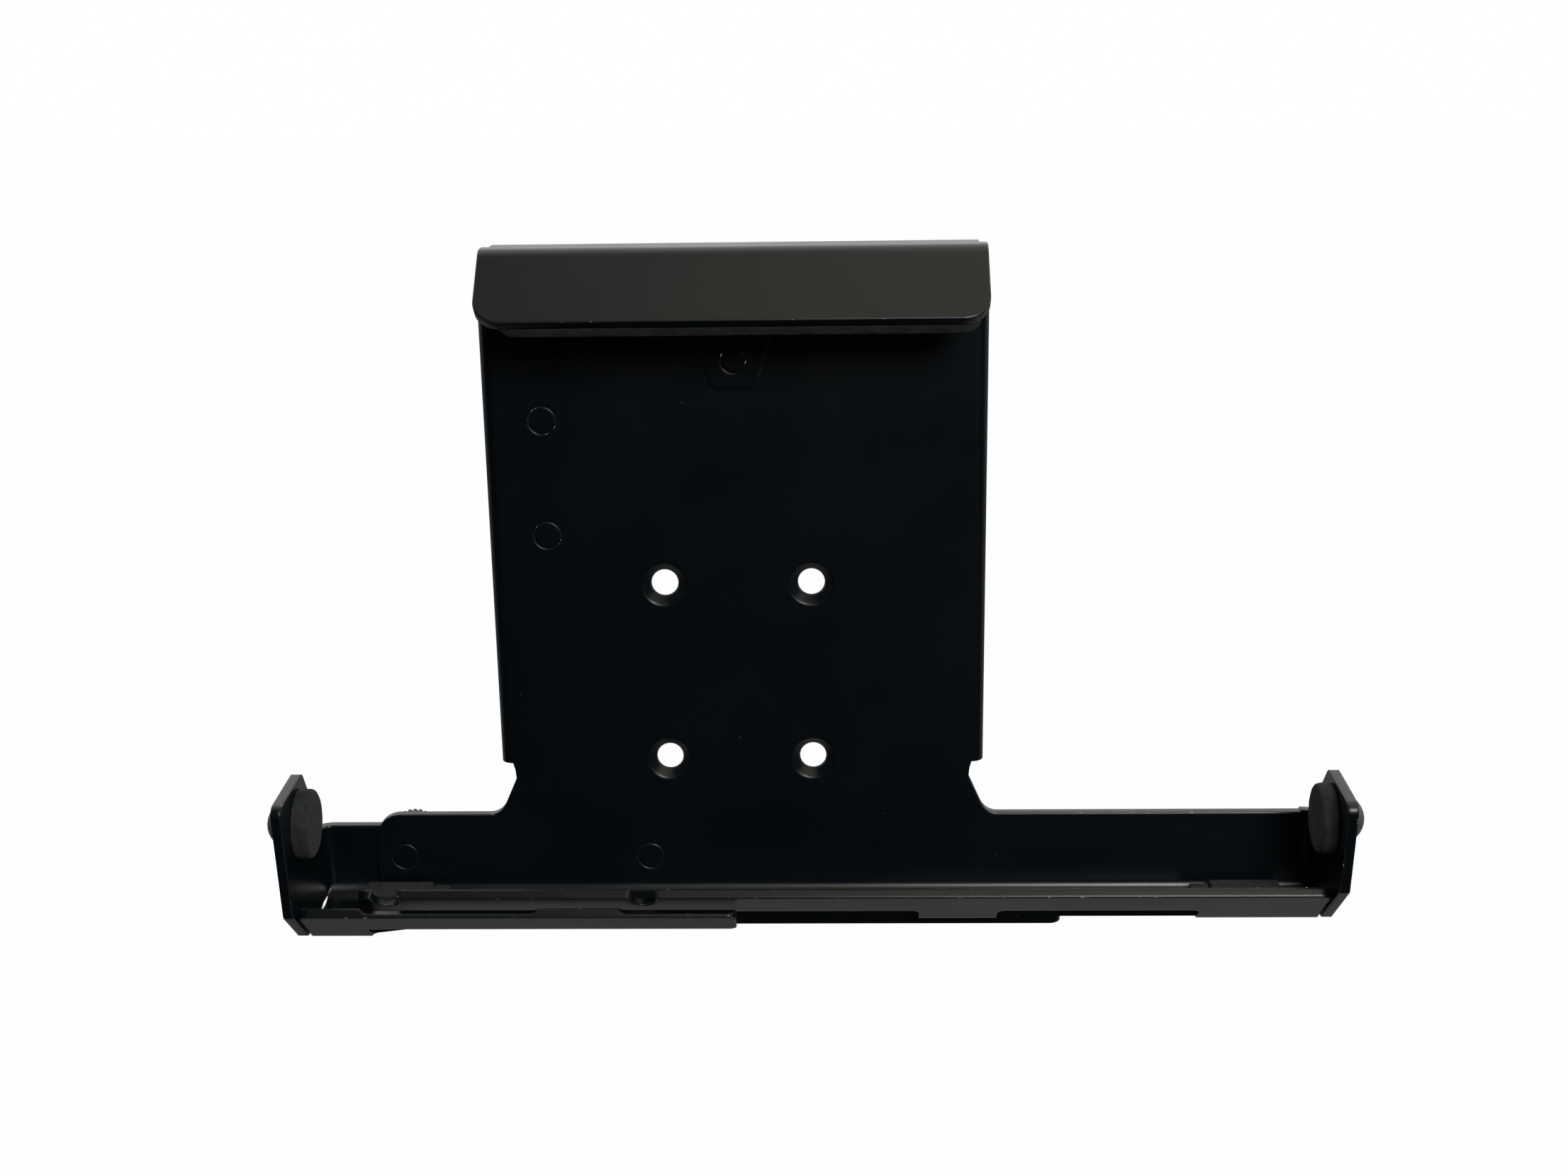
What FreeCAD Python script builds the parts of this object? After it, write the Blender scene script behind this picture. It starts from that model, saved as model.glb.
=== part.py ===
import FreeCAD, Part
import math
import os

import Sketcher

# A width-adjustable tablet holder folded from two sheets of steel.
# X runs to the right, Y runs away from the user and Z runs up, all in millimetres.
# The origin is the middle of the four mounting holes, on the back face of the main plate.

V = FreeCAD.Vector

# Driving sizes, in millimetres and degrees.
SIZES = {
    "sheet": 2.0,
    "bend_inside": 2.0,
    "lip_angle": 42.0,
    "slide_gap": 0.3,
    "plate_half_width": 50.8,
    "side_flange_depth": 12.0,
    "side_bend_inside": 0.5,
    "side_flange_bottom": -20.0,
    "side_flange_top": 79.0,
    "neck_half_width": 47.9,
    "neck_drop": 1.4,
    "neck_flare": 3.5,
    "neck_round": 3.9,
    "hook_top": 88.7,
    "hook_depth": 9.2,
    "hook_lip_length": 16.4,
    "hook_angle": 45.0,
    "hook_left": -47.9,
    "hook_right": 49.5,
    "hook_neck_step": 1.4,
    "hook_relief_depth": 5.6,
    "hook_corner_round": 5.0,
    "arm_top": -31.7,
    "arm_left_end": -78.2,
    "shelf_bottom": -51.2,
    "shelf_depth": 9.8,
    "lip_length": 14.4,
    "tab_inner_face": 120.1,
    "tab_gap": 0.5,
    "tab_front": -30.0,
    "tab_top": -17.9,
    "tab_head_drop": 1.0,
    "tab_shoulder": -31.3,
    "tab_lean": 2.7,
    "tab_proud": 0.4,
    "tab_lower_reach": 1.2,
    "tab_rise": 3.6,
    "tab_head_back": -12.3,
    "tab_head_round": 2.2,
    "tab_low_round": 1.5,
    "corner_relief": 1.4,
    "arm_end_round": 5.0,
    "lip_end_round": 2.0,
    "hole_spacing_wide": 30.17,
    "hole_spacing_high": 38.05,
    "hole_diameter": 5.5,
    "sink_diameter": 9.1,
    "cutout_left_start": -77.7,
    "cutout_left_end": -53.0,
    "cutout_middle_start": -36.9,
    "cutout_inner_end": 36.9,
    "cutout_web_end": 53.0,
    "cutout_outer_end": 94.7,
    "cutout_lip_reach": 5.4,
    "cutout_shelf_reach": 0.7,
    "cutout_round": 1.8,
    "arm_inner_face": -90.4,
    "arm_flange_top": -35.1,
    "tongue_end": 67.0,
    "tongue_front": -9.7,
    "tongue_corner_round": 2.5,
    "arm_shelf_depth": 15.3,
    "arm_lip_length": 13.2,
    "arm_lip_end": -0.7,
    "arm_slit_start": -77.5,
    "arm_slit_open": -62.0,
    "travel_in": 3.0,
    "travel_out": 30.0,
    "clamp_height": -41.2,
    "clamp_inner_place": -19.7,
    "clamp_spacing": 52.8,
    "thread_diameter": 4.0,
    "stud_head_diameter": 5.6,
    "press_clearance": 0.05,
    "flange_corner_round": 6.0,
    "arm_lip_round": 1.6,
    "arm_slit_lip_reach": 5.0,
    "slot_clearance": 0.4,
    "washer_diameter": 9.0,
    "washer_thickness": 0.8,
    "nut_diameter": 12.0,
    "nut_disc_thickness": 4.0,
    "nut_collar_diameter": 8.0,
    "nut_collar_length": 2.5,
    "nut_groove_count": 30,
    "nut_groove_depth": 0.4,
    "stud_overrun": 2.0,
    "side_stud_place": -38.6,
    "side_stud_low": 29.7,
    "side_stud_high": 53.5,
    "top_stud_height": 65.4,
    "top_stud_head_diameter": 5.0,
    "back_stud_length": 8.0,
    "boss_height": 0.4,
    "boss_bottom": 59.6,
    "boss_top": 74.0,
    "boss_half_width_bottom": 4.2,
    "boss_half_width_top": 8.9,
    "boss_round": 2.5,
    "pad_diameter": 14.3,
    "pad_thickness": 3.2,
    "pad_forward": -17.2,
    "left_pad_height": -27.2,
    "right_pad_height": -26.7,
    "button_head_diameter": 10.4,
    "button_head_height": 4.4,
    "button_shank_diameter": 3.8,
    "button_reach": 1.4,
    "button_dome_steps": 4,
    "hook_foam_thickness": 3.2,
    "hook_foam_height": 14.5,
    "hook_foam_round": 4.0,
    "hook_foam_left": -43.9,
    "hook_foam_right": 48.0,
    "shelf_foam_thickness": 3.0,
    "short_foam_thickness": 2.3,
    "left_foam_end": -80.4,
    "left_foam_split": -66.4,
    "left_foam_start": -62.8,
    "right_foam_start": 94.4,
    "right_foam_split": 98.6,
    "right_foam_end": 113.1,
    "foam_joint": 0.2,
}

# Fits, worked out from the sizes above.
SIZES["stud_hole_diameter"] = SIZES["stud_head_diameter"] + 2 * SIZES["press_clearance"]
SIZES["top_stud_hole_diameter"] = SIZES["top_stud_head_diameter"] + 2 * SIZES["press_clearance"]
SIZES["button_hole_diameter"] = SIZES["button_shank_diameter"] + 2 * SIZES["press_clearance"]
SIZES["washer_bore"] = SIZES["thread_diameter"] + 2 * SIZES["press_clearance"]
SIZES["nut_bore"] = SIZES["thread_diameter"] + 2 * SIZES["press_clearance"]

doc = FreeCAD.newDocument("TabletHolder")
sheet = doc.addObject("Spreadsheet::Sheet", "Sizes")
for row, (alias, value) in enumerate(SIZES.items(), start=1):
    sheet.set(f"A{row}", alias)
    sheet.set(f"B{row}", str(value))
    sheet.setAlias(f"B{row}", alias)
doc.recompute()


def size(name):
    return float(sheet.get(name))


# Sketch helpers

def start_body(label):
    body = doc.addObject("PartDesign::Body", label)
    body.Label = label
    return body


def sketch_on(body, role, name, offset=None):
    """A sketch on one of the body's origin planes, moved along its normal by an expression."""
    sketch = body.newObject("Sketcher::SketchObject", name)
    plane = next(f for f in body.Origin.OriginFeatures if f.Role == role)
    sketch.AttachmentSupport = [(plane, "")]
    sketch.MapMode = "FlatFace"
    if offset is not None:
        sketch.setExpression("AttachmentOffset.Base.z", offset)
    return sketch


def unit(a, b):
    length = math.hypot(b[0] - a[0], b[1] - a[1])
    return ((b[0] - a[0]) / length, (b[1] - a[1]) / length)


def draw_outline(sketch, corners):
    """A closed outline through corners (u, v, radius), each rounded by its own radius."""
    stops = []
    count = len(corners)
    for i, (u, v, radius) in enumerate(corners):
        before = unit(corners[i], corners[i - 1])
        after = unit(corners[i], corners[(i + 1) % count])
        if radius <= 0:
            stops.append(((u, v), (u, v), None))
            continue
        cosine = max(-1.0, min(1.0, before[0] * after[0] + before[1] * after[1]))
        half = math.acos(cosine) / 2
        back = radius / math.tan(half)
        reach = radius / math.sin(half)
        middle = unit((0, 0), (before[0] + after[0], before[1] + after[1]))
        start = (u + before[0] * back, v + before[1] * back)
        end = (u + after[0] * back, v + after[1] * back)
        crown = (u + middle[0] * (reach - radius), v + middle[1] * (reach - radius))
        stops.append((start, end, crown))
    for i, (start, end, crown) in enumerate(stops):
        if crown is not None:
            sketch.addGeometry(Part.Arc(V(*start, 0), V(*crown, 0), V(*end, 0)), False)
        following = stops[(i + 1) % count][0]
        if math.dist(end, following) > 1e-4:
            sketch.addGeometry(Part.LineSegment(V(*end, 0), V(*following, 0)), False)


def draw_box(sketch, u0, v0, u1, v1, radius=0.0):
    draw_outline(sketch, [(u0, v0, radius), (u1, v0, radius), (u1, v1, radius), (u0, v1, radius)])


def draw_slot(sketch, u0, u1, v, half):
    """A slot with round ends whose centres are at u0 and u1."""
    for u, side in ((u0, -1), (u1, 1)):
        ends = (V(u, v - half, 0), V(u + side * half, v, 0), V(u, v + half, 0))
        sketch.addGeometry(Part.Arc(*ends), False)
    for side in (-1, 1):
        sketch.addGeometry(Part.LineSegment(V(u0, v + side * half, 0), V(u1, v + side * half, 0)), False)


def draw_circle(sketch, u, v, diameter_cell):
    """A circle whose diameter follows a cell of the spreadsheet."""
    index = sketch.addGeometry(Part.Circle(V(u, v, 0), V(0, 0, 1), size(diameter_cell) / 2), False)
    constraint = sketch.addConstraint(Sketcher.Constraint("Diameter", index, size(diameter_cell)))
    sketch.setExpression(f"Constraints[{constraint}]", f"Sizes.{diameter_cell}")


def folded_outline(inside, thickness):
    """The outline of a folded sheet, from the path (u, v, radius) of its left-hand surface.

    The sheet lies on the right of the path, and each bend keeps one thickness all round.
    """
    count = len(inside)
    directions = [unit(inside[i], inside[i + 1]) for i in range(count - 1)]
    normals = [(d[1], -d[0]) for d in directions]
    outside = []
    for i, (u, v, radius) in enumerate(inside):
        if i in (0, count - 1):
            n = normals[0] if i == 0 else normals[-1]
            outside.append((u + n[0] * thickness, v + n[1] * thickness, 0.0))
            continue
        n0, n1 = normals[i - 1], normals[i]
        scale = thickness / (1 + n0[0] * n1[0] + n0[1] * n1[1])
        turn = directions[i - 1][0] * directions[i][1] - directions[i - 1][1] * directions[i][0]
        outer = radius + thickness if turn > 0 else radius - thickness
        outside.append((u + (n0[0] + n1[0]) * scale, v + (n0[1] + n1[1]) * scale, outer))
    return list(inside) + outside[::-1]


def pad_along(body, sketch, name, length, reverse=False):
    pad = body.newObject("PartDesign::Pad", name)
    pad.Profile = sketch
    pad.setExpression("Length", length)
    pad.Reversed = reverse
    sketch.Visibility = False
    return pad


def cut_through(body, sketch, name, length=None, reverse=False):
    """A pocket, checked to take material away."""
    doc.recompute()
    before = body.Shape.Volume
    pocket = body.newObject("PartDesign::Pocket", name)
    pocket.Profile = sketch
    if length is None:
        pocket.Type = "ThroughAll"
        pocket.Midplane = True
    else:
        pocket.setExpression("Length", length)
        pocket.Reversed = reverse
    sketch.Visibility = False
    doc.recompute()
    if body.Shape.Volume > before - 1e-3:
        raise RuntimeError(name + " cuts nothing")
    return pocket


def is_along(direction, axis):
    return abs(abs(direction.dot(axis)) - 1) < 1e-3


def round_edges(body, name, radius_cell, test):
    """Fillets the straight edges of the body's tip that pass test(middle, direction, length)."""
    doc.recompute()
    base = body.Tip
    names = []
    for number, edge in enumerate(base.Shape.Edges, start=1):
        if edge.Curve.TypeId != "Part::GeomLine":
            continue
        ends = [vertex.Point for vertex in edge.Vertexes]
        middle = (ends[0] + ends[1]) * 0.5
        if test(middle, (ends[1] - ends[0]).normalize(), edge.Length):
            names.append(f"Edge{number}")
    if not names:
        raise RuntimeError(name + " finds no edge")
    fillet = body.newObject("PartDesign::Fillet", name)
    fillet.Base = (base, names)
    fillet.setExpression("Radius", f"Sizes.{radius_cell}")
    doc.recompute()
    return fillet


# Places worked out from the sizes

t = size("sheet")
inside = size("bend_inside")
slope = math.radians(size("lip_angle"))
front = -t
gap = size("slide_gap")
lip_run = (-math.cos(slope), math.sin(slope))
shelf_top = size("shelf_bottom") + t
shelf_corner = front - size("shelf_depth")
hook_inner = size("hook_top") - t
hook_slope = math.radians(size("hook_angle"))
hook_run = (-math.cos(hook_slope), -math.sin(hook_slope))
hook_corner = (front - size("hook_depth"), hook_inner)
arm_face = gap
arm_shelf_top = size("shelf_bottom") - gap
arm_corner = arm_face - size("arm_shelf_depth")
tab_outer_face = size("tab_inner_face") + t
arm_outer_face = size("arm_inner_face") - t
clamp_places = [size("clamp_inner_place") - size("clamp_spacing"), size("clamp_inner_place")]


def along(start, direction, distance):
    return (start[0] + direction[0] * distance, start[1] + direction[1] * distance)


def tab_outline(shoulder, foot, lip_point):
    """The side view of an end tab: a flat shoulder, a rise, a square head and a slope along the lip.

    The head leans back by tab_lean, and the slope stands tab_proud outside the lip's outer surface,
    which goes through lip_point.
    """
    top = size("tab_top")
    head = size("tab_front")
    chin = head + size("tab_lean")
    proud = size("tab_proud")
    start = (lip_point[0] - proud * math.sin(slope), lip_point[1] - proud * math.cos(slope))
    chin_height = start[1] + (start[0] - chin) * math.tan(slope)
    toe = start[0] + (start[1] - foot) / math.tan(slope)
    back = front - 1.2 * t
    return [
        (1.5 * t, shoulder, 0.0),
        (front - 0.2 * t, shoulder, 0.4 * t),
        (front - 0.8 * t, shoulder + size("tab_rise"), 1.5 * t),
        (size("tab_head_back"), top, 1.2 * t),
        (head, top - size("tab_head_drop"), size("tab_head_round")),
        (chin, chin_height, size("tab_low_round")),
        (toe, foot, size("tab_low_round")),
        (0.3 * toe + 0.7 * back, foot, 0.7 * t),
        (back, foot + size("corner_relief"), 0.3 * t),
        (1.5 * t, foot + size("corner_relief"), 0.0),
    ]


def trim_to_outline(body, name, outline, start):
    """Cuts away what lies outside the outline, over the tab's thickness and its bend, from start along X."""
    sketch = sketch_on(body, "YZ_Plane", name + "Sketch", start)
    draw_box(sketch, 2 * size("tab_front"), 2 * size("shelf_bottom"), 5 * t, size("hook_top"))
    draw_outline(sketch, outline)
    return cut_through(body, sketch, name, "2 * Sizes.sheet + 2 * Sizes.bend_inside", True)


def drill_tab(body, start, height_cell):
    """The hole in an end tab for the button of its foam disc."""
    sketch = sketch_on(body, "YZ_Plane", "ButtonHoleOutline", start)
    draw_circle(sketch, size("pad_forward"), size(height_cell), "button_hole_diameter")
    cut_through(body, sketch, "ButtonHole", "2 * Sizes.sheet", True)


# Main tray: one folded sheet

def make_main_tray():
    body = start_body("main_tray")

    # Right end tab, bent forward from the arm.
    path = [
        (size("tab_inner_face"), size("tab_front") - 0.5 * t, 0.0),
        (size("tab_inner_face"), front, inside),
        (size("tab_inner_face") - inside - 0.25 * t, front, 0.0),
    ]
    sketch = sketch_on(body, "XY_Plane", "TabSection", "Sizes.shelf_bottom - 2 * Sizes.sheet")
    draw_outline(sketch, folded_outline(path, t))
    pad_along(body, sketch, "Tab", "Sizes.tab_top - Sizes.shelf_bottom + 4 * Sizes.sheet")
    outside_corner = (shelf_corner - t * math.sin(slope), shelf_top - t * math.cos(slope))
    foot = size("shelf_bottom") + size("tab_lower_reach")
    outline = tab_outline(size("tab_shoulder"), foot, outside_corner)
    trim_to_outline(body, "TabTrim", outline, "Sizes.tab_inner_face - Sizes.bend_inside - 0.5 * Sizes.sheet")
    drill_tab(body, "Sizes.tab_inner_face - 0.5 * Sizes.sheet", "right_pad_height")

    # Arms, shelf and front lip have one section along the whole width.
    lip_tip = along((shelf_corner, shelf_top), lip_run, size("lip_length"))
    path = [
        (front, size("arm_top"), 0.0),
        (front, shelf_top, inside),
        (shelf_corner, shelf_top, inside),
        (lip_tip[0], lip_tip[1], 0.0),
    ]
    section = folded_outline(path[::-1], t)
    sketch = sketch_on(body, "YZ_Plane", "ArmSection", "Sizes.arm_left_end")
    draw_outline(sketch, section)
    pad_along(body, sketch, "Arms", "Sizes.tab_inner_face - Sizes.tab_gap - Sizes.arm_left_end")

    # Back plate, with a notch at each side where the side bends end.
    half = size("plate_half_width")
    neck = size("neck_half_width")
    notch = size("side_flange_bottom")
    edge = half - t - size("side_bend_inside")
    arm_top = size("arm_top")
    outline = []
    flare = neck + size("neck_flare")
    for side, hook_end in ((1, "hook_right"), (-1, "hook_left")):
        hook_neck = side * size(hook_end) - size("hook_neck_step")
        corner = [
            (side * (flare + size("neck_round")), arm_top - 2 * t, 0.0),
            (side * (flare + size("neck_round")), arm_top, 0.0),
            (side * flare, arm_top, size("neck_round")),
            (side * (neck - 0.1 * t), notch - size("neck_drop") - t, 0.6 * t),
            (side * neck, notch - size("neck_drop"), 0.3 * t),
            (side * edge, notch, 0.0),
            (side * edge, size("side_flange_top"), 0.0),
            (side * hook_neck, size("side_flange_top") + 0.75 * t, 0.5 * t),
            (side * hook_neck, hook_inner - inside, 0.0),
        ]
        outline += corner if side == 1 else corner[::-1]
    sketch = sketch_on(body, "XZ_Plane", "PlateOutline")
    draw_outline(sketch, outline)
    pad_along(body, sketch, "BackPlate", "Sizes.sheet")

    # Side flanges, bent back.
    for side, name in ((1, "RightFlange"), (-1, "LeftFlange")):
        depth = size("side_flange_depth") - t
        path = [
            (side * (edge - 0.5 * t), 0.0, 0.0),
            (side * (half - t), 0.0, size("side_bend_inside")),
            (side * (half - t), depth, 0.0),
        ]
        if side == -1:
            path = path[::-1]
        sketch = sketch_on(body, "XY_Plane", name + "Section", "Sizes.side_flange_bottom")
        draw_outline(sketch, folded_outline(path, t))
        pad_along(body, sketch, name, "Sizes.side_flange_top - Sizes.side_flange_bottom")

    # Top hook with its sloping lip.
    hook_tip = along(hook_corner, hook_run, size("hook_lip_length"))
    path = [
        (front, hook_inner - inside - 0.5 * t, 0.0),
        (front, hook_inner, inside),
        (*hook_corner, inside),
        (*hook_tip, 0.0),
    ]
    sketch = sketch_on(body, "YZ_Plane", "HookSection", "Sizes.hook_left")
    draw_outline(sketch, folded_outline(path, t))
    pad_along(body, sketch, "Hook", "Sizes.hook_right - Sizes.hook_left")
    relief = front - size("hook_relief_depth")
    for side, hook_end, name in ((1, "hook_right", "HookReliefRight"), (-1, "hook_left", "HookReliefLeft")):
        neck_end = size(hook_end) - side * size("hook_neck_step")
        sketch = sketch_on(body, "XY_Plane", name + "Outline", "Sizes.side_flange_top + 0.75 * Sizes.sheet")
        draw_box(sketch, neck_end, relief, size(hook_end) + side * t, 2 * t)
        cut_through(body, sketch, name, "Sizes.hook_top - Sizes.side_flange_top", True)
    across = V(0, -hook_run[1], hook_run[0])

    def hook_corners(middle, direction, length):
        on_lip = middle.y < hook_corner[0] - inside and middle.z > size("side_stud_high")
        return on_lip and is_along(direction, across) and abs(length - t) < 1e-2

    round_edges(body, "HookLipCorners", "hook_corner_round", hook_corners)

    # Long cut-outs in the lower bend, rounded where they run up into the lip.
    lip_cut = along((shelf_corner, shelf_top), lip_run, size("cutout_lip_reach"))
    lip_cut_outside = (lip_cut[0] - t * math.sin(slope), lip_cut[1] - t * math.cos(slope))
    shelf_cut = shelf_corner + size("cutout_shelf_reach")
    spans = [
        ("CutoutRight", "cutout_web_end", "cutout_outer_end"),
        ("CutoutMiddle", "cutout_middle_start", "cutout_inner_end"),
        ("CutoutLeft", "cutout_left_start", "cutout_left_end"),
    ]
    for name, start, end in spans:
        sketch = sketch_on(body, "YZ_Plane", name + "Section", "Sizes." + start)
        low = size("shelf_bottom") - 0.5 * t
        spare = (0.5 * t * math.sin(slope), 0.5 * t * math.cos(slope))
        corners = [
            (shelf_cut, shelf_top + 0.5 * t, 0.0),
            (shelf_cut, low, 0.0),
            (lip_cut_outside[0] - 1.5 * t, low, 0.0),
            (lip_cut_outside[0] - spare[0], lip_cut_outside[1] - spare[1], 0.0),
            (lip_cut[0] + spare[0], lip_cut[1] + spare[1], 0.0),
        ]
        draw_outline(sketch, corners)
        cut_through(body, sketch, name, f"Sizes.{end} - Sizes.{start}", True)

    def cutout_corners(middle, direction, length):
        near = abs(middle.z - (lip_cut[1] + lip_cut_outside[1]) / 2) < 0.3
        in_front = middle.y < shelf_corner - 0.5 * t
        return near and in_front and abs(length - t) < 1e-2 and abs(direction.x) < 1e-3

    round_edges(body, "CutoutRounds", "cutout_round", cutout_corners)

    # The lip's two upper corners and the arm's free upper corner are rounded.
    through = V(0, -math.sin(slope), -math.cos(slope))

    def lip_end_corners(middle, direction, length):
        at_tip = abs(middle.z - lip_tip[1]) < t and middle.y < shelf_corner - inside
        return at_tip and is_along(direction, through) and abs(length - t) < 1e-2

    round_edges(body, "LipEndCorners", "lip_end_round", lip_end_corners)

    def arm_end_corner(middle, direction, length):
        at_end = abs(middle.x - size("arm_left_end")) < 1e-3
        return at_end and is_along(direction, V(0, 1, 0)) and abs(middle.z - size("arm_top")) < 1e-3

    round_edges(body, "ArmEndCorner", "arm_end_round", arm_end_corner)

    # The raised boss under the hook, pressed forward by less than the sheet's thickness.
    boss = [
        (-size("boss_half_width_bottom"), size("boss_bottom"), size("boss_round")),
        (size("boss_half_width_bottom"), size("boss_bottom"), size("boss_round")),
        (size("boss_half_width_top"), size("boss_top"), size("boss_round")),
        (-size("boss_half_width_top"), size("boss_top"), size("boss_round")),
    ]
    sketch = sketch_on(body, "XZ_Plane", "BossOutline", "Sizes.sheet")
    draw_outline(sketch, boss)
    pad_along(body, sketch, "Boss", "Sizes.boss_height")
    sketch = sketch_on(body, "XZ_Plane", "BossHollowOutline")
    draw_outline(sketch, boss)
    cut_through(body, sketch, "BossHollow", "Sizes.boss_height", True)

    # Four countersunk mounting holes.
    sketch = sketch_on(body, "XZ_Plane", "MountingHoleCentres", "Sizes.sheet")
    wide = size("hole_spacing_wide") / 2
    high = size("hole_spacing_high") / 2
    for u, v in ((-wide, -high), (wide, -high), (-wide, high), (wide, high)):
        draw_circle(sketch, u, v, "hole_diameter")
    doc.recompute()
    before = body.Shape.Volume
    hole = body.newObject("PartDesign::Hole", "MountingHoles")
    hole.Profile = sketch
    hole.DepthType = "ThroughAll"
    hole.setExpression("Diameter", "Sizes.hole_diameter")
    hole.HoleCutType = "Countersink"
    hole.HoleCutCustomValues = True
    hole.setExpression("HoleCutDiameter", "Sizes.sink_diameter")
    hole.HoleCutCountersinkAngle = 90.0
    sketch.Visibility = False
    doc.recompute()
    if body.Shape.Volume > before - 3 * math.pi * t * size("hole_diameter") ** 2 / 4:
        raise RuntimeError("MountingHoles cut too little")

    # Holes that the press-in studs fill.
    sketch = sketch_on(body, "XZ_Plane", "StudHoleOutline")
    for place, height, diameter in stud_places():
        draw_circle(sketch, place, height, diameter)
    cut_through(body, sketch, "StudHoles")
    return body


def stud_places():
    """Where each press-in stud goes through the main plate: X, Z and the cell of its hole's diameter."""
    places = [(0.0, size("top_stud_height"), "top_stud_hole_diameter")]
    for name in ("side_stud_low", "side_stud_high"):
        places.append((size("side_stud_place"), size(name), "stud_hole_diameter"))
    for place in clamp_places:
        places.append((place, size("clamp_height"), "stud_hole_diameter"))
    return places


# Sliding arm: the second folded sheet, behind and under the main tray

def make_sliding_arm():
    body = start_body("sliding_arm")
    wrap = inside + t + gap

    # Left end tab, bent forward from the flange.
    path = [
        (size("arm_inner_face") + inside + 0.25 * t, arm_face, 0.0),
        (size("arm_inner_face"), arm_face, inside),
        (size("arm_inner_face"), size("tab_front") - 0.5 * t, 0.0),
    ]
    sketch = sketch_on(body, "XY_Plane", "TabSection", "Sizes.shelf_bottom - 4 * Sizes.sheet")
    draw_outline(sketch, folded_outline(path, t))
    pad_along(body, sketch, "Tab", "Sizes.tab_top - Sizes.shelf_bottom + 6 * Sizes.sheet")
    outside_corner = (arm_corner - t * math.sin(slope), arm_shelf_top - t * math.cos(slope))
    foot = arm_shelf_top - t + size("tab_lower_reach")
    outline = tab_outline(size("arm_flange_top"), foot, outside_corner)
    trim_to_outline(body, "TabTrim", outline, "Sizes.arm_inner_face - 1.5 * Sizes.sheet")
    drill_tab(body, "Sizes.arm_inner_face - 1.5 * Sizes.sheet", "left_pad_height")

    # Flange, lower bend and shelf tongue.
    path = [
        (size("tongue_front"), arm_shelf_top, 0.0),
        (arm_face, arm_shelf_top, wrap),
        (arm_face, size("arm_flange_top"), 0.0),
    ]
    sketch = sketch_on(body, "YZ_Plane", "TongueSection", "Sizes.arm_inner_face + Sizes.bend_inside")
    draw_outline(sketch, folded_outline(path, t))
    pad_along(body, sketch, "Tongue", "Sizes.tongue_end - Sizes.arm_inner_face - Sizes.bend_inside")

    # Below the tab's bend the lower bend runs on to the tab, down to a small corner relief.
    low_end = foot + size("corner_relief")
    path = [
        (size("tongue_front"), arm_shelf_top, 0.0),
        (arm_face, arm_shelf_top, wrap),
        (arm_face, low_end, 0.0),
    ]
    sketch = sketch_on(body, "YZ_Plane", "CornerSection", "Sizes.arm_inner_face + 0.1 * Sizes.sheet")
    draw_outline(sketch, folded_outline(path, t))
    pad_along(body, sketch, "Corner", "Sizes.bend_inside")

    # Shelf out to the front lip at the left end, with a slanted edge that runs back to the tongue.
    sketch = sketch_on(body, "XY_Plane", "ShelfOutline", "Sizes.shelf_bottom - Sizes.slide_gap - Sizes.sheet")
    left = size("arm_inner_face") + 0.6 * t
    bend_start = arm_corner + inside * math.tan(slope / 2)
    shelf = [
        (left, size("tongue_front") + 0.5 * t, 0.0),
        (left, bend_start, 0.0),
        (size("arm_slit_start"), bend_start, 0.0),
        (size("arm_slit_start") + 0.4 * t, bend_start + 0.3 * t, 0.2 * t),
        (size("arm_slit_open"), size("tongue_front"), 4 * t),
        (size("arm_slit_open") + 4 * t, size("tongue_front"), 0.0),
        (size("arm_slit_open") + 4 * t, size("tongue_front") + 0.5 * t, 0.0),
    ]
    draw_outline(sketch, shelf)
    pad_along(body, sketch, "Shelf", "Sizes.sheet")

    # Lower bend and front lip at the left end.
    lip_tip = along((arm_corner, arm_shelf_top), lip_run, size("arm_lip_length"))
    path = [
        (lip_tip[0], lip_tip[1], 0.0),
        (arm_corner, arm_shelf_top, inside),
        (bend_start + 0.25 * t, arm_shelf_top, 0.0),
    ]
    sketch = sketch_on(body, "YZ_Plane", "LipSection", "Sizes.arm_inner_face + Sizes.tab_gap")
    draw_outline(sketch, folded_outline(path, t))
    pad_along(body, sketch, "Lip", "Sizes.arm_slit_start - Sizes.arm_inner_face - Sizes.tab_gap")

    # The lip runs on alone past the slit.
    slit_edge = along((arm_corner, arm_shelf_top), lip_run, size("arm_slit_lip_reach"))
    path = [
        (lip_tip[0], lip_tip[1], 0.0),
        (slit_edge[0], slit_edge[1], 0.0),
    ]
    sketch = sketch_on(body, "YZ_Plane", "LongLipSection", "Sizes.arm_slit_start")
    draw_outline(sketch, folded_outline(path, t))
    pad_along(body, sketch, "LongLip", "Sizes.arm_lip_end - Sizes.arm_slit_start")
    outer = V(0, -math.sin(slope), -math.cos(slope))

    def lip_corners(middle, direction, length):
        at_end = abs(middle.x - size("arm_lip_end")) < 1e-3
        return at_end and is_along(direction, outer) and abs(length - t) < 1e-2

    round_edges(body, "LipEndCorners", "arm_lip_round", lip_corners)

    def lip_left_corner(middle, direction, length):
        at_tip = middle.x < size("arm_slit_start") and abs(middle.z - lip_tip[1]) < t
        return at_tip and is_along(direction, outer) and abs(length - t) < 1e-2

    round_edges(body, "LipLeftCorner", "lip_end_round", lip_left_corner)

    # Two slots for the clamp studs.
    sketch = sketch_on(body, "XZ_Plane", "ClampSlotOutline")
    half = size("thread_diameter") / 2 + size("slot_clearance")
    for place in clamp_places:
        draw_slot(sketch, place - size("travel_in"), place + size("travel_out"), size("clamp_height"), half)
    cut_through(body, sketch, "ClampSlots")

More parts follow.
